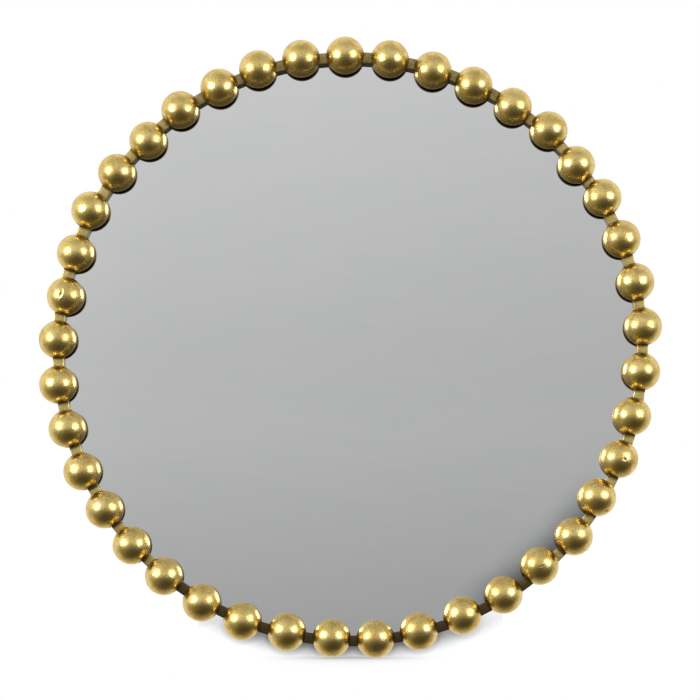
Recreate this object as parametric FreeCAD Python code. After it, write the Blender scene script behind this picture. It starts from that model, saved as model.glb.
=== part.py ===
"""Round wall mirror framed by a ring of hollow metal balls threaded on a flat hoop.

Units are millimetres. +Z is up, the glass faces -Y, and the wall is the plane y = 0. The origin is
the centre of the ring on the wall plane. A depth is a distance from the wall, so depth d lies at
y = -d. A clock angle starts at the top and runs clockwise for someone who faces the mirror.
"""

import FreeCAD, Part

import math
import os

from FreeCAD import Placement, Rotation, Vector

# Balls
BALL_COUNT = 41
BALL_DIAMETER = 50.0
BALL_WALL = 1.2
BALL_GAP = 8.7  # along the ring, from one ball to the next: the link that shows
RING_TURN = -1.0  # degrees: the whole set of balls sits a little anticlockwise
SEAT_CLEARANCE = 0.3  # between the cut edge of a ball and what it sits over

# The balls are set by hand, so each strays from its even place. From the ball at the top and clockwise:
# how far outward it lies, and how far clockwise along the ring, as shares of a ball's diameter.
BALL_STRAY = (
    (0.054, 0.0), (0.028, 0.002), (-0.030, -0.004), (-0.022, -0.024), (0.0, -0.024), (0.090, -0.080),
    (-0.020, -0.098), (0.050, -0.166), (0.012, -0.148), (0.012, -0.132), (0.028, -0.124), (-0.022, -0.118),
    (-0.070, -0.090), (-0.050, -0.084), (-0.116, -0.082), (-0.018, -0.064), (-0.116, -0.054), (-0.068, -0.004),
    (-0.082, 0.032), (-0.046, 0.074), (-0.032, 0.060), (-0.064, 0.040), (-0.054, 0.056), (0.014, 0.078),
    (0.042, 0.068), (0.038, 0.088), (0.040, 0.074), (0.026, 0.072), (0.056, 0.048), (0.038, 0.054),
    (0.052, 0.056), (0.012, 0.064), (-0.074, 0.048), (-0.036, 0.044), (0.072, 0.056), (0.018, 0.088),
    (-0.036, 0.096), (0.048, 0.086), (0.024, 0.094), (0.082, 0.042), (0.076, 0.024),
)

# Hoop: a folded channel, open towards the glass
HOOP_WIDTH = 14.0
HOOP_HEIGHT = 20.0
HOOP_SHEET = 1.5
HOOP_BEVEL = 0.8
BALL_OVER_GLASS = 18.0  # from the front of the glass to the centres of the balls

# Glass and what lies behind it
GLASS_THICKNESS = 4.0
GLASS_EDGE_BEVEL = 0.6
PACKING_THICKNESS = 1.0
BOARD_THICKNESS = 6.0
PANE_CLEARANCE = 0.5  # round the edge of the glass, the packing and the board

# Rebate ring and rim band
RECESS_DEPTH = 8.5  # from the wall to the back of the board and of the rebate ring
REBATE_WIDTH = 8.0
BAND_SHEET = 1.5
BAND_INSET = 0.5  # how far the band stays inside the outer edge of the hoop

# Turn buttons and their screws
BUTTON_COUNT = 6
BUTTON_FIRST_ANGLE = 30.0
BUTTON_WIDTH = 6.5
BUTTON_LENGTH = 25.0
BUTTON_THICKNESS = 1.2
BUTTON_EDGE_MARGIN = 0.35  # from the inner edge of the rebate ring to a button that lies along it
BUTTON_SCREW_SHANK = 3.0
BUTTON_SCREW_HEAD = 5.5
BUTTON_SCREW_HEAD_HEIGHT = 2.0
BUTTON_SCREW_DEPTH = 7.0
SCREW_RUNNING_GAP = 0.15  # round a screw that a button turns on
SCREW_HEAD_GAP = 0.05  # between a button and the head over it
SCREW_TAPPED_GAP = 0.02  # round a screw in its tapped hole
SCREW_SLOT_WIDTH = 0.9
SCREW_SLOT_DEPTH = 0.8

# Strap hangers, their screws and the D-rings
HANGER_SPREAD_SHARE = 0.55  # of the board's radius, from the centre line to each hanger
HANGER_HEIGHT_SHARE = 0.63  # of the board's radius, from the centre up to the axis of each D-ring
STRAP_WIDTH = 12.0
STRAP_LENGTH = 42.0
STRAP_SHEET = 1.2
EYE_CLEARANCE = 0.25  # round the D-ring's bar in the rolled eye
RING_WIRE = 3.0
RING_INNER_WIDTH = 17.0
RING_LEG = 6.0
STRAP_SCREW_SHANK = 3.0
STRAP_SCREW_HEAD = 6.5
STRAP_SCREW_HEAD_HEIGHT = 1.8
STRAP_SCREW_DEPTH = 5.0
STRAP_SCREW_PITCH = 18.0
STRAP_SCREW_MARGIN = 8.0  # from the free end of a strap to its first screw
STRAP_SLOT_TURN = 45.0  # how far the screw slots stand from level, one way and then the other

# Turns, in degrees
QUARTER_TURN = 90.0
HALF_TURN = 180.0
FULL_TURN = 360.0

# Sizes that follow
ball_radius = BALL_DIAMETER / 2
pitch_radius = BALL_COUNT * (BALL_DIAMETER + BALL_GAP) / (2 * math.pi)
hoop_inner = pitch_radius - HOOP_WIDTH / 2
hoop_outer = pitch_radius + HOOP_WIDTH / 2
band_outer = hoop_outer - BAND_INSET
band_inner = band_outer - BAND_SHEET
rebate_inner = band_inner - REBATE_WIDTH
pane_radius = rebate_inner - PANE_CLEARANCE
hanger_spread = pane_radius * HANGER_SPREAD_SHARE
hanger_height = pane_radius * HANGER_HEIGHT_SHARE

# Depths, from the wall forward
board_front = RECESS_DEPTH + BOARD_THICKNESS
glass_back = board_front + PACKING_THICKNESS
glass_front = glass_back + GLASS_THICKNESS
hoop_front = glass_front + HOOP_HEIGHT
ball_depth = glass_front + BALL_OVER_GLASS

CENTRE = Vector(0, 0, 0)
TOWARDS_WALL = Vector(0, 1, 0)
UPWARD = Vector(0, 0, 1)
RIGHTWARD = Vector(1, 0, 0)


def disc(radius, back, front):
    """A round plate about the ring's axis, between two depths."""
    return Part.makeCylinder(radius, front - back, Vector(0, -front, 0), TOWARDS_WALL)


def annulus(inner, outer, back, front):
    """A flat ring about the ring's axis, between two depths."""
    return disc(outer, back, front).cut(disc(inner, back, front))


def place(x, depth, z):
    return Vector(x, -depth, z)


def at_clock(angle, radius, depth):
    """The point at a clock angle and a radius from the ring's axis."""
    turn = math.radians(angle)
    return place(radius * math.sin(turn), depth, radius * math.cos(turn))


def round_bevelled(plate, radius, bevel):
    """Bevels the edges of a round plate that lie at this radius."""
    rims = [e for e in plate.Edges if abs(e.BoundBox.XMax - radius) < bevel / 2 and e.Closed]
    return plate.makeChamfer(bevel, rims)


def ball_spot(index):
    """The clock angle and the radius where one ball sits."""
    outward, clockwise = (BALL_DIAMETER * share for share in BALL_STRAY[index % len(BALL_STRAY)])
    angle = RING_TURN + FULL_TURN * index / BALL_COUNT + math.degrees(clockwise / pitch_radius)
    return angle, pitch_radius + outward


def ball_seat():
    """The space that the hoop, the glass and the band fill, with the clearance round them."""
    over_hoop = annulus(hoop_inner - SEAT_CLEARANCE, hoop_outer + SEAT_CLEARANCE,
                        glass_front - HOOP_SHEET, hoop_front + SEAT_CLEARANCE)
    over_tray = disc(band_outer + SEAT_CLEARANCE, 0, glass_front + SEAT_CLEARANCE)
    return over_hoop.fuse(over_tray)


def hollow_ball(centre):
    """A closed shell whose seam faces forward, clear of every cut."""
    shell = Part.makeSphere(ball_radius).cut(Part.makeSphere(ball_radius - BALL_WALL))
    shell.rotate(CENTRE, UPWARD, -QUARTER_TURN)
    return shell.translate(centre)


def make_ball(index, seat):
    """A ball is cut at the foot of the ring and then turned to its clock angle."""
    angle, radius = ball_spot(index)
    ball = hollow_ball(place(0, ball_depth, -radius)).cut(seat)
    return ball.rotate(CENTRE, TOWARDS_WALL, angle - HALF_TURN)


def make_hoop():
    """The channel: a flat face in front, two legs back to the glass, bevelled front corners."""
    outside = annulus(hoop_inner, hoop_outer, glass_front, hoop_front)
    hollow = annulus(hoop_inner + HOOP_SHEET, hoop_outer - HOOP_SHEET,
                     glass_front, hoop_front - HOOP_SHEET)
    corners = [e for e in outside.Edges
               if e.Closed and abs(e.BoundBox.YMin + hoop_front) < HOOP_BEVEL / 2
               and e.BoundBox.YLength < HOOP_BEVEL]
    return outside.makeChamfer(HOOP_BEVEL, corners).cut(hollow)


def button_pivot(index):
    angle = BUTTON_FIRST_ANGLE + FULL_TURN / BUTTON_COUNT * index
    return angle, at_clock(angle, rebate_inner + BUTTON_EDGE_MARGIN + BUTTON_WIDTH / 2, RECESS_DEPTH)


def pin(radius, base, length):
    """A round bar that starts at a point and runs towards the wall."""
    return Part.makeCylinder(radius, length, base, TOWARDS_WALL)


def button_bore(pivot):
    """The tapped hole in the rebate ring for one button's screw."""
    depth = BUTTON_SCREW_DEPTH + SCREW_TAPPED_GAP
    return pin(BUTTON_SCREW_SHANK / 2 + SCREW_TAPPED_GAP, pivot - TOWARDS_WALL * depth, depth)


def make_rebate_ring():
    ring = annulus(rebate_inner, band_inner, RECESS_DEPTH, glass_front)
    for index in range(BUTTON_COUNT):
        ring = ring.cut(button_bore(button_pivot(index)[1]))
    return ring


def make_turn_button(index):
    """A flat bar with round ends that points to the ring's centre and turns on its screw."""
    angle, pivot = button_pivot(index)
    end_radius = BUTTON_WIDTH / 2
    reach = BUTTON_LENGTH - BUTTON_WIDTH
    tail = pin(end_radius, CENTRE, BUTTON_THICKNESS)
    nose = pin(end_radius, Vector(0, 0, -reach), BUTTON_THICKNESS)
    bar = Part.makeBox(BUTTON_WIDTH, BUTTON_THICKNESS, reach, Vector(-end_radius, 0, -reach))
    hole = pin(BUTTON_SCREW_SHANK / 2 + SCREW_RUNNING_GAP, CENTRE, BUTTON_THICKNESS)
    button = bar.fuse([tail, nose]).removeSplitter().cut(hole)
    button.Placement = Placement(pivot, Rotation(TOWARDS_WALL, angle))
    return button


def make_screw(base, shank, depth, seat, head, head_height, slot_angle):
    """A slotted pan-head screw: base is where it enters, seat is what lies under its head."""
    body = pin(shank / 2, base - TOWARDS_WALL * depth, depth + seat)
    dome = pin(head / 2, base + TOWARDS_WALL * seat, head_height)
    top_rim = [e for e in dome.Edges
               if e.Closed and abs(e.BoundBox.YMax - (base.y + seat + head_height)) < SCREW_HEAD_GAP
               and e.BoundBox.YLength < SCREW_HEAD_GAP]
    dome = dome.makeFillet(head_height / 2, top_rim)
    slot = Part.makeBox(head, SCREW_SLOT_DEPTH, SCREW_SLOT_WIDTH,
                        Vector(-head / 2, -SCREW_SLOT_DEPTH, -SCREW_SLOT_WIDTH / 2))
    top = base + TOWARDS_WALL * (seat + head_height)
    slot.Placement = Placement(top, Rotation(TOWARDS_WALL, slot_angle))
    return body.fuse(dome).removeSplitter().cut(slot)


def make_button_screws():
    seat = BUTTON_THICKNESS + SCREW_HEAD_GAP
    screws = []
    for index in range(BUTTON_COUNT):
        angle, pivot = button_pivot(index)
        screws.append(make_screw(pivot, BUTTON_SCREW_SHANK, BUTTON_SCREW_DEPTH, seat,
                                 BUTTON_SCREW_HEAD, BUTTON_SCREW_HEAD_HEIGHT, angle))
    return Part.makeCompound(screws)


def strap_screw_points(side):
    """Where one strap's two screws enter the board."""
    free_end = hanger_height + STRAP_LENGTH
    heights = (free_end - STRAP_SCREW_MARGIN, free_end - STRAP_SCREW_MARGIN - STRAP_SCREW_PITCH)
    return [place(side * hanger_spread, RECESS_DEPTH, height) for height in heights]


def board_bore(point):
    """The hole that a strap screw makes in the board."""
    depth = STRAP_SCREW_DEPTH + SCREW_TAPPED_GAP
    return pin(STRAP_SCREW_SHANK / 2 + SCREW_TAPPED_GAP, point - TOWARDS_WALL * depth, depth)


def make_board():
    board = disc(pane_radius, RECESS_DEPTH, board_front)
    for side in (-1, 1):
        for point in strap_screw_points(side):
            board = board.cut(board_bore(point))
    return board


def eye_radius():
    return RING_WIRE / 2 + EYE_CLEARANCE + STRAP_SHEET


def eye_centre(side):
    """The axis of a D-ring, as far off the board as its rolled eye is round."""
    return place(side * hanger_spread, RECESS_DEPTH - eye_radius(), hanger_height)


def across(centre, radius, length):
    """A round bar along X, centred on a point."""
    return Part.makeCylinder(radius, length, centre - Vector(length / 2, 0, 0), RIGHTWARD)


def make_strap(side):
    """A flat strap on the board whose lower end is rolled into an eye for the D-ring."""
    centre = eye_centre(side)
    plate = Part.makeBox(STRAP_WIDTH, STRAP_SHEET, STRAP_LENGTH,
                         place(side * hanger_spread - STRAP_WIDTH / 2, RECESS_DEPTH, hanger_height))
    strap = plate.fuse(across(centre, eye_radius(), STRAP_WIDTH)).removeSplitter()
    strap = strap.cut(across(centre, RING_WIRE / 2 + EYE_CLEARANCE, STRAP_WIDTH))
    for point in strap_screw_points(side):
        strap = strap.cut(pin(STRAP_SCREW_SHANK / 2 + SCREW_RUNNING_GAP, point, STRAP_SHEET))
    return strap


def make_strap_screws():
    points = strap_screw_points(-1) + strap_screw_points(1)
    turns = (STRAP_SLOT_TURN, -STRAP_SLOT_TURN) * 2
    return Part.makeCompound([
        make_screw(point, STRAP_SCREW_SHANK, STRAP_SCREW_DEPTH, STRAP_SHEET,
                   STRAP_SCREW_HEAD, STRAP_SCREW_HEAD_HEIGHT, turn)
        for point, turn in zip(points, turns)])


def make_d_ring(side):
    """A wire ring that hangs below its eye: a bar in the eye, two legs and a half circle."""
    centre = eye_centre(side)
    wire = RING_WIRE / 2
    half_width = RING_INNER_WIDTH / 2 + wire
    bow = Part.makeTorus(half_width, wire, CENTRE, UPWARD, -HALF_TURN, HALF_TURN, HALF_TURN)
    bow.rotate(CENTRE, RIGHTWARD, -QUARTER_TURN)
    bow.translate(centre - Vector(0, 0, RING_LEG))
    pieces = [across(centre, wire, 2 * half_width)]
    for leg_side in (-1, 1):
        corner = centre + Vector(leg_side * half_width, 0, 0)
        pieces.append(Part.makeSphere(wire, corner))
        pieces.append(Part.makeCylinder(wire, RING_LEG, corner, Vector(0, 0, -1)))
    return bow.fuse(pieces).removeSplitter()


def make_glass():
    plate = disc(pane_radius, glass_back, glass_front)
    return round_bevelled(plate, pane_radius, GLASS_EDGE_BEVEL)


def all_nodes():
    seat = ball_seat()
    nodes = {f"ball_{index + 1:02d}": make_ball(index, seat) for index in range(BALL_COUNT)}
    nodes["hoop"] = make_hoop()
    nodes["rim_band"] = annulus(band_inner, band_outer, 0, glass_front)
    nodes["rebate_ring"] = make_rebate_ring()
    nodes["mirror_glass"] = make_glass()
    nodes["packing_sheet"] = disc(pane_radius, board_front, glass_back)
    nodes["back_board"] = make_board()
    for index in range(BUTTON_COUNT):
        nodes[f"turn_button_{index + 1}"] = make_turn_button(index)
    nodes["turn_button_screws"] = make_button_screws()
    for name, side in (("left", -1), ("right", 1)):
        nodes[f"hanger_strap_{name}"] = make_strap(side)
        nodes[f"d_ring_{name}"] = make_d_ring(side)
    nodes["hanger_screws"] = make_strap_screws()
    return nodes


def main():
    os.makedirs("parts", exist_ok=True)
    for name, shape in all_nodes().items():
        shape.exportStep(f"parts/{name}.step")
        print(name, "solids", len(shape.Solids), "volume mm3", round(shape.Volume))


main()
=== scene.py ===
# %% [markdown]
# # A round mirror in a ring of gilt balls
#
# The real thing is a flat round mirror. A flat metal hoop runs round it, and 41 hollow balls sit on
# the hoop like beads, all rubbed with an old gold finish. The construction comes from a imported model,
# the frame. This notebook dresses that frame: it builds the pieces that show as smooth meshes, gives
# every piece a finish made of nodes, and sets up a plain studio.

# %% Load the frame
import math

import bmesh
import bpy
import numpy as np
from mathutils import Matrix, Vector


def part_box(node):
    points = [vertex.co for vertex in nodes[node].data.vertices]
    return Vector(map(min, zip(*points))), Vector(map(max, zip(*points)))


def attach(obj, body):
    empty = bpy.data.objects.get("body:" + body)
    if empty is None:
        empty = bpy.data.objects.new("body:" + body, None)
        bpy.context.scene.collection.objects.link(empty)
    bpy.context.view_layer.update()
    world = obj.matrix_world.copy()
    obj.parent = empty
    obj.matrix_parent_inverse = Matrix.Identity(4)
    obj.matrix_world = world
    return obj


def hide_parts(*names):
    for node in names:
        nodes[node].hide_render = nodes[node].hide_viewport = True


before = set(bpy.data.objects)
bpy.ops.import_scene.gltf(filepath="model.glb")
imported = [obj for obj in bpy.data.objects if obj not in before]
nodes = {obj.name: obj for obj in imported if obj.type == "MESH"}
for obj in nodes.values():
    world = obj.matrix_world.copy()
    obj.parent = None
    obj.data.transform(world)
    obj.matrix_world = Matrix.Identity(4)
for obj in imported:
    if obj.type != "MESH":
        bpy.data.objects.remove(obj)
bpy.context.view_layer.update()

# %% [markdown]
# ## Where things are
#
# Nothing is placed by eye. Every size is read from the frame's boxes, so the dressed pieces land on
# the construction. Each ball's box gives its centre: the box is full width across the ring, and its
# front is one ball radius in front of the centre. Depths are written as y, and the wall is at y = 0.

# %% Read sizes from the frame
MM = 0.001
BALL_RADIUS = 25 * MM


def corners(name):
    low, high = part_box(name)
    return Vector(low), Vector(high)


def ball_centre(name):
    low, high = corners(name)
    return Vector(((low.x + high.x) / 2, low.y + BALL_RADIUS, (low.z + high.z) / 2))


ball_names = sorted(name for name in nodes if name.startswith("ball_"))
ball_centres = {name: ball_centre(name) for name in ball_names}

hoop_low, hoop_high = corners("hoop")
HOOP_OUTER = hoop_high.x
HOOP_WIDTH = 14 * MM
HOOP_INNER = HOOP_OUTER - HOOP_WIDTH
HOOP_FRONT = hoop_low.y
GLASS_FRONT = hoop_high.y
BAND_OUTER = corners("rim_band")[1].x
PITCH_RADIUS = (HOOP_OUTER + HOOP_INNER) / 2
print("ring radius", round(PITCH_RADIUS, 4), "balls", len(ball_names), "hoop front", round(HOOP_FRONT, 4))

# %% [markdown]
# ## The camera
#
# The photograph was taken from far off, so its perspective is flat. The way that each ball's reflection
# in the glass is shifted tells where the camera stood: a little below the ring's middle and a hair to
# the right. The size of the ring in the picture gives the distance.

# %% The camera
SENSOR = 36.0
FRAME_PIXELS = 700
FOCAL_PIXELS = 4000.0
RING_MIDDLE_PIXEL = (350.22, 347.83)
RING_RADIUS_PIXELS = 292.4
CAMERA_ELEVATION = math.radians(-3.83)
CAMERA_AZIMUTH = math.radians(0.5)
METRES_PER_PIXEL = PITCH_RADIUS / RING_RADIUS_PIXELS
RING_MIDDLE = Vector((0, ball_centres[ball_names[0]].y, 0))


def direction(azimuth, elevation):
    """A unit vector: azimuth 0 points to the front, and positive azimuths to the right."""
    level = math.cos(elevation)
    return Vector((math.sin(azimuth) * level, -math.cos(azimuth) * level, math.sin(elevation)))


def make_camera():
    data = bpy.data.cameras.new("camera")
    data.sensor_width = SENSOR
    data.lens = FOCAL_PIXELS / FRAME_PIXELS * SENSOR
    camera = bpy.data.objects.new("camera", data)
    distance = PITCH_RADIUS * FOCAL_PIXELS / RING_RADIUS_PIXELS
    camera.location = RING_MIDDLE + direction(CAMERA_AZIMUTH, CAMERA_ELEVATION) * distance
    off_right = (RING_MIDDLE_PIXEL[0] - FRAME_PIXELS / 2) * METRES_PER_PIXEL
    off_down = (RING_MIDDLE_PIXEL[1] - FRAME_PIXELS / 2) * METRES_PER_PIXEL
    aim = RING_MIDDLE + Vector((-off_right, 0, off_down))
    camera.rotation_euler = (aim - camera.location).to_track_quat("-Z", "Y").to_euler()
    bpy.context.scene.collection.objects.link(camera)
    bpy.context.scene.camera = camera
    return camera


camera = make_camera()
bpy.context.scene.view_settings.view_transform = "Standard"
print("camera", [round(v, 3) for v in camera.location], "lens", round(camera.data.lens, 1))

# %% [markdown]
# ## Placing a mark by its pixel
#
# Some balls carry dents that are easy to find in the photograph. A line of sight through the dent's
# pixel meets the plane of the ball centres at one point, and the nearest ball is the one that has it.

# %% Turn a pixel into a point on the ring's plane
def point_at_pixel(across, down):
    offset = Vector((across - FRAME_PIXELS / 2, FRAME_PIXELS / 2 - down, -FOCAL_PIXELS))
    sight = camera.rotation_euler.to_matrix() @ offset
    return camera.location + sight * ((RING_MIDDLE.y - camera.location.y) / sight.y)


def ball_at_pixel(across, down):
    spot = point_at_pixel(across, down)
    return min(ball_centres, key=lambda name: (ball_centres[name] - spot).length)


print("one pixel is", round(METRES_PER_PIXEL / MM, 3), "mm")

# %% [markdown]
# ## Shader arithmetic
#
# Node trees are easier to read as formulas. `Wire` wraps one socket, and its operators add Math
# nodes, so `1 - mask * 0.5` is a small chain of nodes. Every other node comes from `Wire.node`, which
# sets the node's settings first and then its sockets. Colours go through a Mix node, because a Math
# node would turn them grey. A Mix node has sockets for numbers, vectors and colours under the same
# names, so its colour sockets are found by their places in the list.

# %% A socket that does arithmetic
MIX_SHARE, MIX_COLOUR_A, MIX_COLOUR_B, MIX_COLOUR_OUT = 0, 6, 7, 2


class Wire:
    def __init__(self, socket):
        self.socket = socket
        self.tree = socket.id_data

    @staticmethod
    def node(tree, kind, settings=None, sockets=None, out=0):
        made = tree.nodes.new(kind)
        for name, value in (settings or {}).items():
            if name == "stops":
                Wire.set_stops(made.color_ramp, value)
            else:
                setattr(made, name, value)
        for key, value in (sockets or {}).items():
            Wire.feed(tree, made.inputs[key], value)
        return Wire(made.outputs[out])

    @staticmethod
    def feed(tree, socket, value):
        """Links a Wire to a socket, or sets a number, a vector or a colour on it."""
        if isinstance(value, Wire):
            tree.links.new(value.socket, socket)
        elif hasattr(socket.default_value, "__len__") and len(socket.default_value) == 4:
            socket.default_value = (*value[:3], 1)
        else:
            socket.default_value = value

    @staticmethod
    def set_stops(ramp, stops):
        """Gives a colour ramp its stops: a place and a grey each."""
        while len(ramp.elements) < len(stops):
            ramp.elements.new(1)
        for element, (place, shade) in zip(ramp.elements, stops):
            element.position = place
            element.color = (shade, shade, shade, 1)

    def math(self, operation, *given):
        return Wire.node(self.tree, "ShaderNodeMath", {"operation": operation}, dict(enumerate(given)))

    def __add__(self, other):
        return self.math("ADD", self, other)

    def __radd__(self, other):
        return self.math("ADD", other, self)

    def __sub__(self, other):
        return self.math("SUBTRACT", self, other)

    def __rsub__(self, other):
        return self.math("SUBTRACT", other, self)

    def __mul__(self, other):
        return self.math("MULTIPLY", self, other)

    def __rmul__(self, other):
        return self.math("MULTIPLY", other, self)

    def __truediv__(self, other):
        return self.math("DIVIDE", self, other)

    def __pow__(self, other):
        return self.math("POWER", self, other)

    def at_most(self, limit):
        return self.math("MINIMUM", self, limit)

    def between(self, low, high, to_low=0.0, to_high=1.0):
        """Maps low..high smoothly to to_low..to_high and holds it outside."""
        settings = {"interpolation_type": "SMOOTHSTEP", "clamp": True}
        given = {"Value": self, "From Min": low, "From Max": high, "To Min": to_low, "To Max": to_high}
        return Wire.node(self.tree, "ShaderNodeMapRange", settings, given)

    def blend(self, a, b):
        """The colour that this share of the way from a to b gives."""
        given = {MIX_SHARE: self, MIX_COLOUR_A: a, MIX_COLOUR_B: b}
        return Wire.node(self.tree, "ShaderNodeMix", {"data_type": "RGBA"}, given, out=MIX_COLOUR_OUT)

    def split(self):
        """The x, y and z of a place or a direction."""
        parts = Wire.node(self.tree, "ShaderNodeSeparateXYZ", None, {"Vector": self}).socket.node
        return (Wire(part) for part in parts.outputs)


print("Wire is ready")

# %% [markdown]
# ## One small frame for every finish
#
# A finish starts from a material with a Principled shader. Patterns are laid out in the piece's own
# coordinates, in metres, so a noise scale of 1000 makes specks of about a millimetre.

# %% Start a finish, and the noises that it uses
def start_finish(name):
    finish = bpy.data.materials.new(name)
    finish.use_nodes = True
    tree = finish.node_tree
    place = Wire.node(tree, "ShaderNodeTexCoord", out="Object")
    return finish, tree.nodes["Principled BSDF"], place


def noise(place, per_metre, detail=4.0, rough=0.55, twist=0.0):
    given = {"Vector": place, "Scale": per_metre, "Detail": detail, "Roughness": rough, "Distortion": twist}
    return Wire.node(place.tree, "ShaderNodeTexNoise", None, given)


def stretched(place, squeeze, turn=(0, 0, 0)):
    """Coordinates that draw a pattern out along one way, for scratches and brushing."""
    given = {"Vector": place, "Scale": squeeze, "Rotation": turn}
    return Wire.node(place.tree, "ShaderNodeMapping", None, given)


def bump(height, depth, strength=1.0, onto=None):
    """A surface normal from a height of 0 to 1, where depth is in metres."""
    given = {"Height": height, "Distance": depth, "Strength": strength}
    if onto is not None:
        given["Normal"] = onto
    return Wire.node(height.tree, "ShaderNodeBump", None, given)


def painted_mask(tree, name):
    """A mask that the mesh code stored on the vertices."""
    return Wire.node(tree, "ShaderNodeAttribute", {"attribute_name": name}, out="Fac")


def finish_with(shader, **given):
    for name, value in given.items():
        Wire.feed(shader.id_data, shader.inputs[name.replace("_", " ")], value)


print("finish helpers are ready")

# %% [markdown]
# ## Old gold
#
# The balls are thin metal, leafed in gold and then rubbed back with a dark wax. So the gold is not one
# colour: it drifts between a pale and a deep tone over a centimetre or so, and wax stays in fine specks.
# Painted shade darkens the corners where the hoop enters a ball and the bottoms of the dents, and most
# backs, which face the glass, are painted black as shade. All of it is metal, so the tones go into Base
# Color, and the wax and the painted shade also make the surface rougher. Faint rubbing marks make it
# rougher still. A slight unevenness, the wrinkles of the leaf and the pits under the wax come from three
# Bump nodes in a chain. A thin clear coat of lacquer whitens the highlights and the rims, which uncoated
# gold would colour.

# %% The gold finish
PALE_GOLD = (0.94, 0.74, 0.27)
DEEP_GOLD = (0.72, 0.48, 0.12)
GOLD_EDGE = (0.88, 0.76, 0.62)
# the brown below is the colour of the wax and also of the painted shade; the near-black after it is painted
# shade
WAX_AND_SHADE_BROWN = (0.11, 0.072, 0.022)
BLACK_SHADE = (0.012, 0.010, 0.008)
COAT_ROUGHNESS = 0.2
UNEVEN_DEPTH = 1.2 * MM
WRINKLE_DEPTH = 0.30 * MM
PIT_DEPTH = 0.06 * MM


def make_gold(name, wax_amount=1.0):
    finish, shader, place = start_finish(name)
    drift = noise(place, 90, detail=5, rough=0.6, twist=0.6).between(0.36, 0.66)
    specks = noise(place, 560, detail=4, rough=0.7).between(0.54, 0.66)
    patches = noise(place, 170, detail=5, rough=0.7, twist=1.2).between(0.46, 0.70)
    rubbing = noise(stretched(place, (1, 9, 1), (0.4, 0.2, 0.9)), 420, detail=3).between(0.55, 0.75)
    # this mask is painted shade: at the ball joints, in the dents, beside and under the balls on the hoop
    # and at its top and foot; on the band it is an even wax
    painted_shade_and_wax = painted_mask(place.tree, "corner")
    bare = painted_mask(place.tree, "bare")

    # the specks and patches are real wax; the mask adds painted shade in the same brown
    wax_and_painted_shade = ((specks * 0.56 + patches * 0.26) * wax_amount + painted_shade_and_wax).at_most(1.0)
    tone = (drift * 0.75).blend(PALE_GOLD, DEEP_GOLD)
    tone = wax_and_painted_shade.blend(tone, WAX_AND_SHADE_BROWN)
    # the black is painted shade, on the backs of the balls that face the glass and on the hoop's inner wall
    # at the top
    tone = bare.blend(tone, BLACK_SHADE)

    roughness = 0.23 + wax_and_painted_shade * 0.24 + drift * 0.07 + rubbing * 0.05
    uneven = bump(noise(place, 70, detail=2, rough=0.5), UNEVEN_DEPTH, 0.35)
    leaf = noise(place, 330, detail=5, rough=0.68, twist=0.8)
    wrinkled = bump(leaf, WRINKLE_DEPTH, 0.55, onto=uneven)
    pitted = bump(patches * 0.6 + specks * 0.4, PIT_DEPTH, 0.6, onto=wrinkled)
    lacquer = (0.35 + patches * 0.25) * (1 - bare)
    finish_with(shader, Base_Color=tone, Metallic=1.0, Roughness=roughness, Normal=pitted)
    finish_with(shader, Specular_Tint=GOLD_EDGE, Coat_Weight=lacquer, Coat_Roughness=COAT_ROUGHNESS)
    return finish


gold_on_balls = make_gold("gold_on_balls")
gold_on_hoop = make_gold("gold_on_hoop", wax_amount=0.95)
print("gold finishes made")

# %% [markdown]
# ## Silvered glass
#
# Behind its front face the glass is silvered, so to the eye it is a flat metal mirror with a trace of
# green. A perfect mirror looks false, so a cloth's wipe marks and a little dust vary its roughness. Its
# colour also goes dark in a cloud that hugs the ring at the lower right.

# %% The mirror finish
CLOUD_DIRECTION = math.radians(-47.5)
CLOUD_TONE = (0.10, 0.105, 0.11)
CLOUD_INNER_RADIUS = 0.328
CLOUD_OUTER_RADIUS = 0.388
SILVER_TONES = (0.868, 0.880, 0.876), (0.885, 0.893, 0.890)


def dark_cloud_by_ring(place):
    """An arc of cloud: dark at the ring, and fading inward and to both sides of its direction."""
    x, _, z = place.split()
    radius = (x * x + z * z) ** 0.5
    facing = (x * math.cos(CLOUD_DIRECTION) + z * math.sin(CLOUD_DIRECTION)) / radius
    ragged = noise(place, 40, detail=4) * 6 * MM
    edge = (radius + ragged).between(CLOUD_INNER_RADIUS, CLOUD_OUTER_RADIUS)
    return (edge ** 1.5) * facing.between(0.93, 0.997) * 0.9


def make_mirror():
    finish, shader, place = start_finish("silvered_glass")
    wipes = noise(stretched(place, (1, 1, 5), (0, 0.7, 0)), 6, detail=5, rough=0.6, twist=1.5)
    dust = noise(place, 1600, detail=2).between(0.70, 0.80)
    tone = wipes.between(0.3, 0.7).blend(*SILVER_TONES)
    tone = dark_cloud_by_ring(place).blend(tone, CLOUD_TONE)
    roughness = 0.004 + wipes.between(0.45, 0.8) * 0.008 + dust * 0.02
    finish_with(shader, Base_Color=tone, Metallic=1.0, Roughness=roughness)
    return finish


silvered_glass = make_mirror()
print("mirror finish made")

# %% [markdown]
# ## What lies behind the glass
#
# The back is plain joinery: brown fibreboard, grey packing card, black enamelled steel and zinc-plated
# hardware. Board shows its fibres, enamel an orange-peel ripple, and zinc its frosty crystals, which a
# Voronoi pattern draws well.

# %% The finishes of the back
BOARD_TONES = (0.21, 0.125, 0.06), (0.40, 0.27, 0.15)
CARD_TONES = (0.40, 0.33, 0.24), (0.55, 0.47, 0.36)
ENAMEL_BLACK, SCUFF_GREY = (0.014, 0.013, 0.012), (0.10, 0.095, 0.09)
ZINC_TONES = (0.72, 0.73, 0.74), (0.46, 0.46, 0.45)


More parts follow.
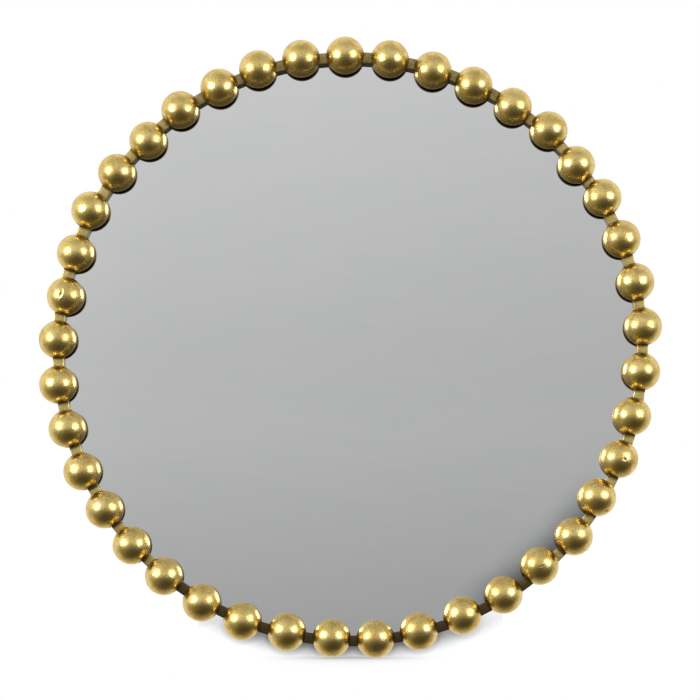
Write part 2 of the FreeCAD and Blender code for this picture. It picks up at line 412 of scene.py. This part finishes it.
def make_fibreboard():
    finish, shader, place = start_finish("fibreboard")
    fibres = noise(stretched(place, (1, 1, 3), (0, 0.5, 0)), 900, detail=6, rough=0.75)
    blotch = noise(place, 14, detail=5, rough=0.6).between(0.3, 0.7)
    tone = (fibres.between(0.3, 0.7) * 0.7 + blotch * 0.3).blend(*BOARD_TONES)
    rough = 0.7 + fibres * 0.2
    finish_with(shader, Base_Color=tone, Roughness=rough, Normal=bump(fibres, 0.15 * MM, 0.5))
    return finish


def make_packing_card():
    finish, shader, place = start_finish("packing_card")
    fibres = noise(place, 700, detail=6, rough=0.7)
    tone = fibres.between(0.3, 0.7).blend(*CARD_TONES)
    rough = 0.8 + fibres * 0.1
    finish_with(shader, Base_Color=tone, Roughness=rough, Normal=bump(fibres, 0.1 * MM))
    return finish


def make_black_enamel():
    finish, shader, place = start_finish("black_enamel")
    ripple = noise(place, 500, detail=2)
    along = stretched(place, (1, 6, 1), (0.3, 0.8, 0.1))
    scuffs = noise(along, 260, detail=5, rough=0.7).between(0.60, 0.75)
    tone = scuffs.blend(ENAMEL_BLACK, SCUFF_GREY)
    rough = 0.34 + scuffs * 0.25 + ripple * 0.08
    finish_with(shader, Base_Color=tone, Roughness=rough, Normal=bump(ripple, 0.03 * MM, 0.5))
    return finish


def make_zinc():
    finish, shader, place = start_finish("zinc_plate")
    given = {"Vector": place, "Scale": 420.0}
    crystals = Wire.node(place.tree, "ShaderNodeTexVoronoi", None, given, out="Color")
    grain = Wire.node(place.tree, "ShaderNodeSeparateColor", None, {"Color": crystals})
    stain = noise(place, 160, detail=4).between(0.5, 0.75)
    tone = (grain * 0.5 + stain * 0.4).blend(*ZINC_TONES)
    rough = 0.24 + grain * 0.14 + stain * 0.15
    frost = bump(noise(place, 900, detail=3), 0.02 * MM, 0.6)
    finish_with(shader, Base_Color=tone, Metallic=1.0, Roughness=rough, Normal=frost)
    return finish


fibreboard = make_fibreboard()
packing_card = make_packing_card()
black_enamel = make_black_enamel()
zinc_plate = make_zinc()
print("finishes of the back made")

# %% [markdown]
# ## A ball that is not quite round
#
# A ball could be a UV sphere, but its poles pinch the reflections. A cube whose faces are divided and
# pushed out to the sphere has even quads all over. Hand-spun balls are never true, so each gets a few
# broad, shallow swells from its own seed. Reflections on metal show a swell of a tenth of a millimetre.
# A ball with a dent needs much smaller faces, or the dent would melt away.

# %% Points on a rounded cube
BALL_DIVISIONS = 26
DENTED_DIVISIONS = 84
SWELL = 0.13 * MM
SWELL_WAVES = (2, 3, 4, 6)
WAVE_STEEPNESS = 1.6
WHOLE_TURN = 6.28


def rounded_cube(divisions):
    """Points of a unit sphere, and faces that are all about the same size."""
    mesh = bmesh.new()
    bmesh.ops.create_cube(mesh, size=2)
    bmesh.ops.subdivide_edges(mesh, edges=mesh.edges[:], cuts=divisions - 1, use_grid_fill=True)
    points = np.array([v.co[:] for v in mesh.verts])
    faces = [[v.index for v in face.verts] for face in mesh.faces]
    mesh.free()
    points = np.tan(points * math.pi / 4)
    return points / np.linalg.norm(points, axis=1, keepdims=True), faces


plain_ball = rounded_cube(BALL_DIVISIONS)
dented_ball = rounded_cube(DENTED_DIVISIONS)


def swells(points, seed):
    """Broad shallow waves over a unit sphere, between about -1 and 1."""
    dice = np.random.default_rng(seed)
    height = np.zeros(len(points))
    for waves in SWELL_WAVES:
        way = dice.normal(size=3)
        way /= np.linalg.norm(way)
        shift = dice.uniform(0, WHOLE_TURN)
        height += np.sin(waves * WAVE_STEEPNESS * (points @ way) + shift) / waves
    return height


print("a plain ball has", len(plain_ball[1]), "faces and a dented one", len(dented_ball[1]))

# %% [markdown]
# ## Dents
#
# The photograph shows one long dent with a raised lip, a small round pit, and three short creases.
# Each is a soft oval hollow in the front of its ball, with a thin raised lip along one side. The
# bottom of a dent gets painted shade, so the same oval also gives a mask for the finish.

# %% The dents, by the pixel where each shows
DENTS = (
    # pixel of the mark, length and width in mm, tilt in degrees, depth in mm
    ((62.6, 294.6), 8.5, 3.6, 16.0, 0.75),
    ((623.6, 460.0), 4.2, 4.2, 0.0, 0.50),
    ((542.0, 566.0), 6.0, 2.2, 62.0, 0.40),
    ((151.0, 132.5), 5.0, 2.0, -30.0, 0.25),
    ((606.5, 511.0), 6.5, 2.0, 66.0, 0.30),
)
# the lip's height is a share of the depth; the other two are shares of the dent's half size
LIP_HEIGHT, LIP_DISTANCE, LIP_THICKNESS = 0.35, 1.7, 0.45
# how dark and how wide the painted shade in the bottom of a dent is
DENT_SHADE, DENT_SHADE_REACH = 0.85, 0.85


def press_dents(points, name):
    """How far the dents move the surface of one ball, in metres, and the painted shade in their hollows."""
    height = np.zeros(len(points))
    wax_and_painted_shade = np.zeros(len(points))
    centre = ball_centres[name]
    front = points[:, 1] < 0
    for pixel, length, width, tilt, depth in DENTS:
        if ball_at_pixel(*pixel) != name:
            continue
        spot = point_at_pixel(*pixel)
        across = (points[:, 0] * BALL_RADIUS - (spot.x - centre.x)) / MM
        up = (points[:, 2] * BALL_RADIUS - (spot.z - centre.z)) / MM
        turn = math.radians(tilt)
        along = (up * math.cos(turn) + across * math.sin(turn)) / (length / 2)
        aside = (across * math.cos(turn) - up * math.sin(turn)) / (width / 2)
        reach = np.sqrt(along ** 2 + aside ** 2)
        hollow = -np.exp(-reach ** 2)
        lip = LIP_HEIGHT * np.exp(-((reach - LIP_DISTANCE) / LIP_THICKNESS) ** 2) * (aside > 0)
        height += np.where(front, depth * MM * (hollow + lip), 0)
        # painted shade in the bottom of the dent
        wax_and_painted_shade += np.where(front, DENT_SHADE * np.exp(-(reach / DENT_SHADE_REACH) ** 2), 0)
    return height, wax_and_painted_shade


dented_names = {ball_at_pixel(*dent[0]) for dent in DENTS}
print("dented balls:", sorted(dented_names))

# %% [markdown]
# ## Seating a ball on the hoop and the tray
#
# A real ball is notched so that it sits over the rim of the tray behind the hoop. Cutting the mesh
# with a Boolean would leave ragged triangles. Sliding the points that would be inside the tray out to
# its nearest face gives the same notch with clean quads, and that part is hidden anyway.

# %% Seat a ball's points
SEAT_GAP = 0.15 * MM


def seat_points(world):
    """Slides points out of the tray: forward off the glass, or outward off the band."""
    radius = np.hypot(world[:, 0], world[:, 2])
    forward_limit = GLASS_FRONT - SEAT_GAP
    outer_limit = BAND_OUTER + SEAT_GAP
    inside = (world[:, 1] > forward_limit) & (radius < outer_limit)
    forward = inside & (world[:, 1] - forward_limit < outer_limit - radius)
    outward = inside & ~forward
    world[forward, 1] = forward_limit
    world[outward, 0] *= outer_limit / radius[outward]
    world[outward, 2] *= outer_limit / radius[outward]
    return world


print("a seated ball keeps", round(SEAT_GAP / MM, 2), "mm off the glass and the band")

# %% [markdown]
# ## Painted shade at the joints, and painted black backs
#
# Shade falls where the hoop enters a ball and on the side of a ball that faces the glass, so both are
# painted into the colour. A shader could find such places by itself, but here they follow from how the
# balls sit on the hoop, so two masks are worked out from the shape and stored on the points of each
# mesh. The balls at the lower right get no painted black on their backs.

# %% Masks for the finish
def smooth(value, low, high):
    """Rises smoothly from 0 at low to 1 at high."""
    share = np.clip((value - low) / (high - low), 0, 1)
    return share * share * (3 - 2 * share)


def ball_masks(points, centre):
    """The painted shade at the joints and the painted black shade on the back, for the points of a unit
    sphere.
    """
    out = Vector((centre.x, 0, centre.z)).normalized()
    outward = points @ np.array(out)
    along = np.abs(points @ np.array((out.z, 0, -out.x)))

    # painted shade: near the two ends where the hoop enters, and no farther from it than its own width
    half_hoop = HOOP_WIDTH / 2 / BALL_RADIUS
    beside_hoop = 1 - smooth(np.abs(outward), half_hoop * 0.9, half_hoop * 1.9)
    corner = beside_hoop * smooth(along, 0.87, 0.98)

    # painted black shade: the half that faces the glass, apart from what lies beyond the hoop
    low_right = smooth(out.x, 0.45, 0.80) * smooth(-out.z, 0.0, 0.3)
    facing_glass = smooth(points[:, 1], 0.02, 0.22)
    bare = facing_glass * smooth(-outward, -0.25, 0.15) * (1 - low_right)
    return corner, bare


def store_mask(mesh, name, values):
    mask = mesh.attributes.new(name, "FLOAT", "POINT")
    mask.data.foreach_set("value", np.asarray(values, dtype=np.float32))


print("the masks are ready")

# %% [markdown]
# ## Building the balls
#
# Every ball takes the same points, swollen by its own seed and dented if it has a dent. Each becomes an
# object of its own, which rides on the frame's body and takes the place of the plain ball there.

# %% Build the balls
FIRST_SEED = 100


def new_piece(name, points, faces, finish, body="root"):
    mesh = bpy.data.meshes.new(name)
    mesh.from_pydata([tuple(p) for p in points], [], faces)
    mesh.polygons.foreach_set("use_smooth", [True] * len(mesh.polygons))
    mesh.materials.append(finish)
    piece = bpy.data.objects.new(name, mesh)
    bpy.context.scene.collection.objects.link(piece)
    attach(piece, body)
    return piece


def build_ball(number, name):
    centre = ball_centres[name]
    unit_points, ball_faces = dented_ball if name in dented_names else plain_ball
    dents, dent_shade = press_dents(unit_points, name)
    reach = BALL_RADIUS + SWELL * (swells(unit_points, FIRST_SEED + number) - 1) + dents
    world = unit_points * reach[:, None] + np.array(centre)
    piece = new_piece("gilt_" + name, seat_points(world), ball_faces, gold_on_balls)
    corner, bare = ball_masks(unit_points, centre)
    # the first mask is painted shade at the joints and in the dents, the second painted black shade on the
    # back
    store_mask(piece.data, "corner", np.maximum(corner, dent_shade))
    store_mask(piece.data, "bare", bare)
    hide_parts(name)
    return piece


balls = [build_ball(number, name) for number, name in enumerate(ball_names)]
print("built", len(balls), "balls")

# %% [markdown]
# ## The hoop and the band
#
# Both are rings with one cross-section all the way round. A curve with a bevel object would do, but
# spinning a short list of profile points gives full control of the rounded corners. The frame's own
# hoop has flat facets, which a shiny metal would show, so this one has over a thousand steps.

# %% Spin a profile into a ring
STEPS_PER_BALL = 36
RING_STEPS = len(ball_names) * STEPS_PER_BALL
CORNER_STEPS = 4
HOOP_CORNER = 0.7 * MM
BAND_THICKNESS = 1.5 * MM
BAND_CORNER = 0.2 * MM
SHARP_ANGLE = math.radians(40)


def rounded_profile(inner, outer, front, back, corner):
    """Points (radius, y) round a ring's section, with rounded front corners.

    One more point, a little down the inner wall, gives a mask on that wall a place to start.
    """
    points = [(outer, back), (inner, back), (inner, front + 2 * corner)]
    for step in range(CORNER_STEPS + 1):
        turn = math.pi / 2 * step / CORNER_STEPS
        points.append((inner + corner * (1 - math.cos(turn)), front + corner * (1 - math.sin(turn))))
    for step in range(CORNER_STEPS + 1):
        turn = math.pi / 2 * step / CORNER_STEPS
        points.append((outer - corner * (1 - math.sin(turn)), front + corner * (1 - math.cos(turn))))
    return points


def spin(profile):
    count = len(profile)
    points, faces = [], []
    for step in range(RING_STEPS):
        turn = 2 * math.pi * step / RING_STEPS
        points += [(r * math.sin(turn), y, r * math.cos(turn)) for r, y in profile]
        here, there = step * count, (step + 1) % RING_STEPS * count
        for i in range(count):
            j = (i + 1) % count
            faces.append((here + i, here + j, there + j, there + i))
    return points, faces


def face_outward(piece):
    mesh = bmesh.new()
    mesh.from_mesh(piece.data)
    bmesh.ops.recalc_face_normals(mesh, faces=mesh.faces[:])
    mesh.to_mesh(piece.data)
    mesh.free()


def build_ring(name, profile, finish, node, shade_and_wax_values, black_shade_values):
    points, faces = spin(profile)
    piece = new_piece(name, points, faces, finish)
    face_outward(piece)
    # the first mask is painted shade on the hoop and an even wax on the band; the second is painted black
    # shade
    store_mask(piece.data, "corner", shade_and_wax_values(np.array(points)))
    store_mask(piece.data, "bare", black_shade_values(np.array(points)))
    piece.data.set_sharp_from_angle(angle=SHARP_ANGLE)
    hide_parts(node)
    return piece


print("a ring has", RING_STEPS, "steps")

# %% [markdown]
# ## Painted shade on the hoop
#
# The links of the hoop get painted shade beside the balls, and most of all a painted shadow under
# them. They get more painted shade at the top and at the foot of the ring. The inner wall is painted
# black as shade where it faces down, at the top. All this follows from where a point of the hoop is, so
# it is worked out in Python and stored like the masks of the balls.

# %% Build the hoop and the band
BAND_WAX = 0.25
# how dark the painted black shade on the hoop's inner wall gets, at the top
INNER_WALL_SHADE = 0.9
SLACK = 0.1 * MM


def hoop_painted_shade(points):
    """How much painted shade each point gets: a patch at every ball, and more at the top and the foot."""
    shade_by_ball = np.zeros(len(points))
    for centre in ball_centres.values():
        right, above = points[:, 0] - centre.x, points[:, 2] - centre.z
        gap = np.hypot(right, above) - BALL_RADIUS
        under = smooth(-above / BALL_RADIUS, -0.2, 0.8)
        low = smooth(-centre.z / PITCH_RADIUS, -0.2, 0.4)
        # the painted shadow under a ball is wider and has a harder edge low on the ring
        start = 2.2 * under * low * MM
        end = (1.5 + (2.5 + 0.8 * low) * under) * MM
        shade_by_ball = np.maximum(shade_by_ball, (0.55 + 0.4 * under) * (1 - smooth(gap, start, end)))
    height = points[:, 2] / PITCH_RADIUS
    # painted shade at the top and at the foot of the ring
    top_and_foot_shade = 0.50 * smooth(height, 0.55, 0.90) + 1.15 * smooth(-height, 0.66, 0.86)
    return np.maximum(shade_by_ball, top_and_foot_shade)


def hoop_black_shade(points):
    """How much painted black shade each point gets: only on the inner wall, and there only towards the top.
    """
    radius = np.hypot(points[:, 0], points[:, 2])
    behind_corner = points[:, 1] > HOOP_FRONT + HOOP_CORNER * 1.5
    inner_wall = (radius < HOOP_INNER + SLACK) & behind_corner
    towards_top = smooth(points[:, 2] / PITCH_RADIUS, 0.35, 0.75)
    return np.where(inner_wall, INNER_WALL_SHADE * towards_top, 0)


hoop_profile = rounded_profile(HOOP_INNER, HOOP_OUTER, HOOP_FRONT, GLASS_FRONT, HOOP_CORNER)
hoop = build_ring("gilt_hoop", hoop_profile, gold_on_hoop, "hoop", hoop_painted_shade, hoop_black_shade)

band_low, band_high = corners("rim_band")
band_profile = rounded_profile(
    BAND_OUTER - BAND_THICKNESS, BAND_OUTER, band_low.y, band_high.y, BAND_CORNER)
band = build_ring("gilt_rim_band", band_profile, gold_on_hoop, "rim_band",
                  lambda points: np.full(len(points), BAND_WAX),
                  lambda points: np.zeros(len(points)))
print("hoop and band made of", len(hoop.data.polygons), "and", len(band.data.polygons), "faces")

# %% [markdown]
# ## Finishes for the pieces that the frame already has right
#
# The glass, the boards and the hardware need no new shape, so each keeps its mesh and gets a finish.

# %% Dress the frame's own pieces
finish_of_piece = {
    "mirror_glass": silvered_glass,
    "packing_sheet": packing_card,
    "back_board": fibreboard,
    "rebate_ring": black_enamel,
}
for name in nodes:
    if name.startswith(("turn_button", "hanger", "d_ring")):
        finish_of_piece[name] = zinc_plate
for name, finish in finish_of_piece.items():
    nodes[name].data.materials.clear()
    nodes[name].data.materials.append(finish)
print("dressed", len(finish_of_piece), "pieces of the frame")

# %% [markdown]
# ## The studio
#
# Metal shows what is round it, so the world matters more than the lamps. An image of a room would do,
# but a few grey levels by height say all that the balls and the glass reflect: nearly white behind the
# object, and in front a soft grey room that grows lighter upward from a dark floor, and a little lighter
# to the left than to the right. Only the dark lower part is warm, which gives the undersides of the balls
# their deep gold. The camera itself sees the world as white.

# %% The world
WHITE = (1, 1, 1)
ROOM_STOPS = (
    # height of the direction from straight down (0) to straight up (1), and the grey there
    (0.0, 0.060),
    (0.20, 0.075),
    (0.32, 0.105),
    (0.44, 0.225),
    (0.490, 0.28),
    (0.498, 0.385),
    (0.5225, 0.505),
    (0.533, 0.515),
    (0.5425, 0.55),
    (0.568, 0.64),
    (0.80, 0.68),
    (1.0, 0.48),
)
WARM_SHADE = (1.0, 0.80, 0.34)
BEHIND_LEVEL = 0.95


def make_world():
    world = bpy.data.worlds.new("studio")
    bpy.context.scene.world = world
    world.use_nodes = True
    tree = world.node_tree
    x, y, z = Wire.node(tree, "ShaderNodeTexCoord", out="Generated").split()

    greys = Wire.node(tree, "ShaderNodeValToRGB", {"stops": ROOM_STOPS}, {"Fac": z * 0.5 + 0.5})
    room = Wire.node(tree, "ShaderNodeSeparateColor", None, {"Color": greys})
    # the narrow part of the room that the glass shows falls off a little from left to right
    room = room * x.between(-0.10, 0.10, 1.05, 0.93) * x.between(-0.086, -0.052, 1.05, 1.0)
    room = room + x.between(-0.95, -0.15, 0.16, 0.0)

    behind = y.between(-0.30, 0.60) * z.between(-1.0, -0.4, 0.45, 1.0)
    level = room + behind * (BEHIND_LEVEL - room)
    upper, straight_down = z.between(-0.85, -0.22), z.between(-0.98, -0.86, 1.0, 0.0)
    neutral = behind.math("MAXIMUM", behind, upper + straight_down)

    camera_ray = Wire.node(tree, "ShaderNodeLightPath", out="Is Camera Ray")
    level = level + camera_ray * (1.0 - level)
    neutral = neutral + camera_ray * (1.0 - neutral)
    background = tree.nodes["Background"]
    Wire.feed(tree, background.inputs["Strength"], level)
    Wire.feed(tree, background.inputs["Color"], neutral.blend(WARM_SHADE, WHITE))


make_world()
print("world made")

# %% [markdown]
# ## Lamps
#
# Two square softboxes give each ball its pair of highlights. A softbox is an area lamp. Its light per
# area sets how bright its reflection looks, so the power is worked out from the brightness wanted and
# the area.

# %% The two softboxes
LAMP_DISTANCE = 3.2
LAMP_ELEVATION = math.radians(10)
LAMP_HEIGHT = 1.5


def softbox(name, azimuth, width, brightness):
    data = bpy.data.lights.new(name, "AREA")
    data.shape = "RECTANGLE"
    data.size, data.size_y = width, LAMP_HEIGHT
    data.energy = brightness * math.pi * width * LAMP_HEIGHT
    lamp = bpy.data.objects.new(name, data)
    way = direction(azimuth, LAMP_ELEVATION)
    lamp.location = RING_MIDDLE + way * LAMP_DISTANCE
    lamp.rotation_euler = (-way).to_track_quat("-Z", "Y").to_euler()
    bpy.context.scene.collection.objects.link(lamp)


softbox("softbox_left", azimuth=math.radians(-52), width=1.55, brightness=5.9)
softbox("softbox_right", azimuth=math.radians(51), width=1.4, brightness=5.4)
print("two lamps made")

# %% [markdown]
# ## White that keeps a shadow
#
# The floor and the wall have to be as white as the background and yet show where the object comes
# close. Lit paint can't do both, so to the camera they glow, and an Ambient Occlusion node dims the
# glow near the object. Seen from their backs both are clear, or they would hide the object in views
# from behind and from below.

# %% Helpers for the floor and the wall
def closeness(tree, reach, samples):
    """0 in the open, and nearer 1 the more of the sky the object hides within the reach."""
    settings, given = {"samples": samples}, {"Distance": reach}
    return 1 - Wire.node(tree, "ShaderNodeAmbientOcclusion", settings, given, out="AO")


def mix_shaders(share, first, second):
    return Wire.node(share.tree, "ShaderNodeMixShader", None, {0: share, 1: first, 2: second})


def show_from_front_only(tree, surface):
    clear = Wire.node(tree, "ShaderNodeBsdfTransparent", None, {"Color": WHITE})
    from_back = Wire.node(tree, "ShaderNodeNewGeometry", out="Backfacing")
    one_sided = mix_shaders(from_back, surface, clear)
    Wire.feed(tree, tree.nodes["Material Output"].inputs["Surface"], one_sided)


def flat_sheet(name, corner_points, finish):
    mesh = bpy.data.meshes.new(name)
    mesh.from_pydata(corner_points, [], [(0, 1, 2, 3)])
    mesh.materials.append(finish)
    sheet = bpy.data.objects.new(name, mesh)
    bpy.context.scene.collection.objects.link(sheet)
    return sheet


print("helpers for the floor and the wall are ready")

# %% [markdown]
# ## The floor
#
# The mirror leans back a little, so in its own upright frame the floor rises behind it. Its slope is
# the camera's elevation, which makes the floor level for the camera. Light meets it as plain white
# paint, but the balls don't reflect it, because their undersides are dark in the photograph. The shadow
# shows only near the middle, where the ring touches down.

# %% The floor
FLOOR_HALF_WIDTH = 3.0
FLOOR_FRONT = -4.5
FLOOR_BACK = 0.7
FLOOR_GAP = 0.4 * MM
FLOOR_SHADOW_REACH = 0.13
FLOOR_SHADOW_DEPTH = 0.6
FLOOR_TONES = (0.80, 0.80, 0.80), (0.82, 0.82, 0.82)


def floor_corner(x, y, foot):
    """A point of the floor, which slopes through the foot of the ring."""
    return (x, y, foot.z + math.tan(-CAMERA_ELEVATION) * (y - foot.y))


def make_floor():
    finish, _, place = start_finish("white_floor")
    tree = place.tree
    grain = noise(place, 3, detail=5).between(0.3, 0.7)
    paint = Wire.node(tree, "ShaderNodeBsdfDiffuse", None, {"Color": grain.blend(*FLOOR_TONES)})
    across, _, _ = place.split()
    under_ring = across.math("ABSOLUTE", across).between(0.0, FLOOR_SHADOW_REACH, 1.0, 0.0)
    shade = closeness(tree, FLOOR_SHADOW_REACH, samples=8) * under_ring * FLOOR_SHADOW_DEPTH
    glow = Wire.node(tree, "ShaderNodeEmission", None, {"Color": 1 - shade})
    camera_ray = Wire.node(tree, "ShaderNodeLightPath", out="Is Camera Ray")
    show_from_front_only(tree, mix_shaders(camera_ray, paint, glow))

    lowest = min(ball_centres.values(), key=lambda centre: centre.z)
    foot = lowest - Vector((0, 0, (BALL_RADIUS + FLOOR_GAP) / math.cos(CAMERA_ELEVATION)))
    corners_of_floor = [floor_corner(x, y, foot) for x, y in (
        (-FLOOR_HALF_WIDTH, FLOOR_FRONT), (FLOOR_HALF_WIDTH, FLOOR_FRONT),
        (FLOOR_HALF_WIDTH, FLOOR_BACK), (-FLOOR_HALF_WIDTH, FLOOR_BACK))]
    floor = flat_sheet("floor", corners_of_floor, finish)
    floor.visible_glossy = False
    floor.visible_shadow = False


make_floor()
print("floor made")

# %% [markdown]
# ## The wall
#
# In the photograph a soft shadow follows the lower arc of the ring, on something white just behind it.
# So a low white wall stands there, which camera rays alone meet, and it changes nothing else. It is
# dimmed only low down, because the light comes from above.

# %% The wall
WALL_HALF_WIDTH = 0.20
WALL_TOP = -0.30
WALL_GAP = 1.0 * MM
WALL_SHADOW_REACH = 0.026
WALL_SHADOW_BOTTOM = -0.385
WALL_SHADOW_TOP = -0.335
DARKEST_SHADE = 0.9


def make_wall():
    finish, _, place = start_finish("white_wall")
    tree = place.tree
    _, _, height = place.split()
    low_down = height.between(WALL_SHADOW_BOTTOM, WALL_SHADOW_TOP, 1.0, 0.0)
    grain = noise(place, 5, detail=4).between(0.3, 0.7)
    near_ring = closeness(tree, WALL_SHADOW_REACH, samples=16)
    shade = (near_ring * low_down * (1.9 + grain * 0.1)).at_most(DARKEST_SHADE)
    glow = Wire.node(tree, "ShaderNodeEmission", None, {"Color": 1 - shade})
    show_from_front_only(tree, glow)

    foot = min(centre.z for centre in ball_centres.values()) - BALL_RADIUS
    corners_of_wall = [(x, WALL_GAP, z) for x, z in (
        (-WALL_HALF_WIDTH, foot), (WALL_HALF_WIDTH, foot),
        (WALL_HALF_WIDTH, WALL_TOP), (-WALL_HALF_WIDTH, WALL_TOP))]
    wall = flat_sheet("wall", corners_of_wall, finish)
    wall.visible_diffuse = False
    wall.visible_glossy = False
    wall.visible_transmission = False
    wall.visible_shadow = False


make_wall()
print("wall made")
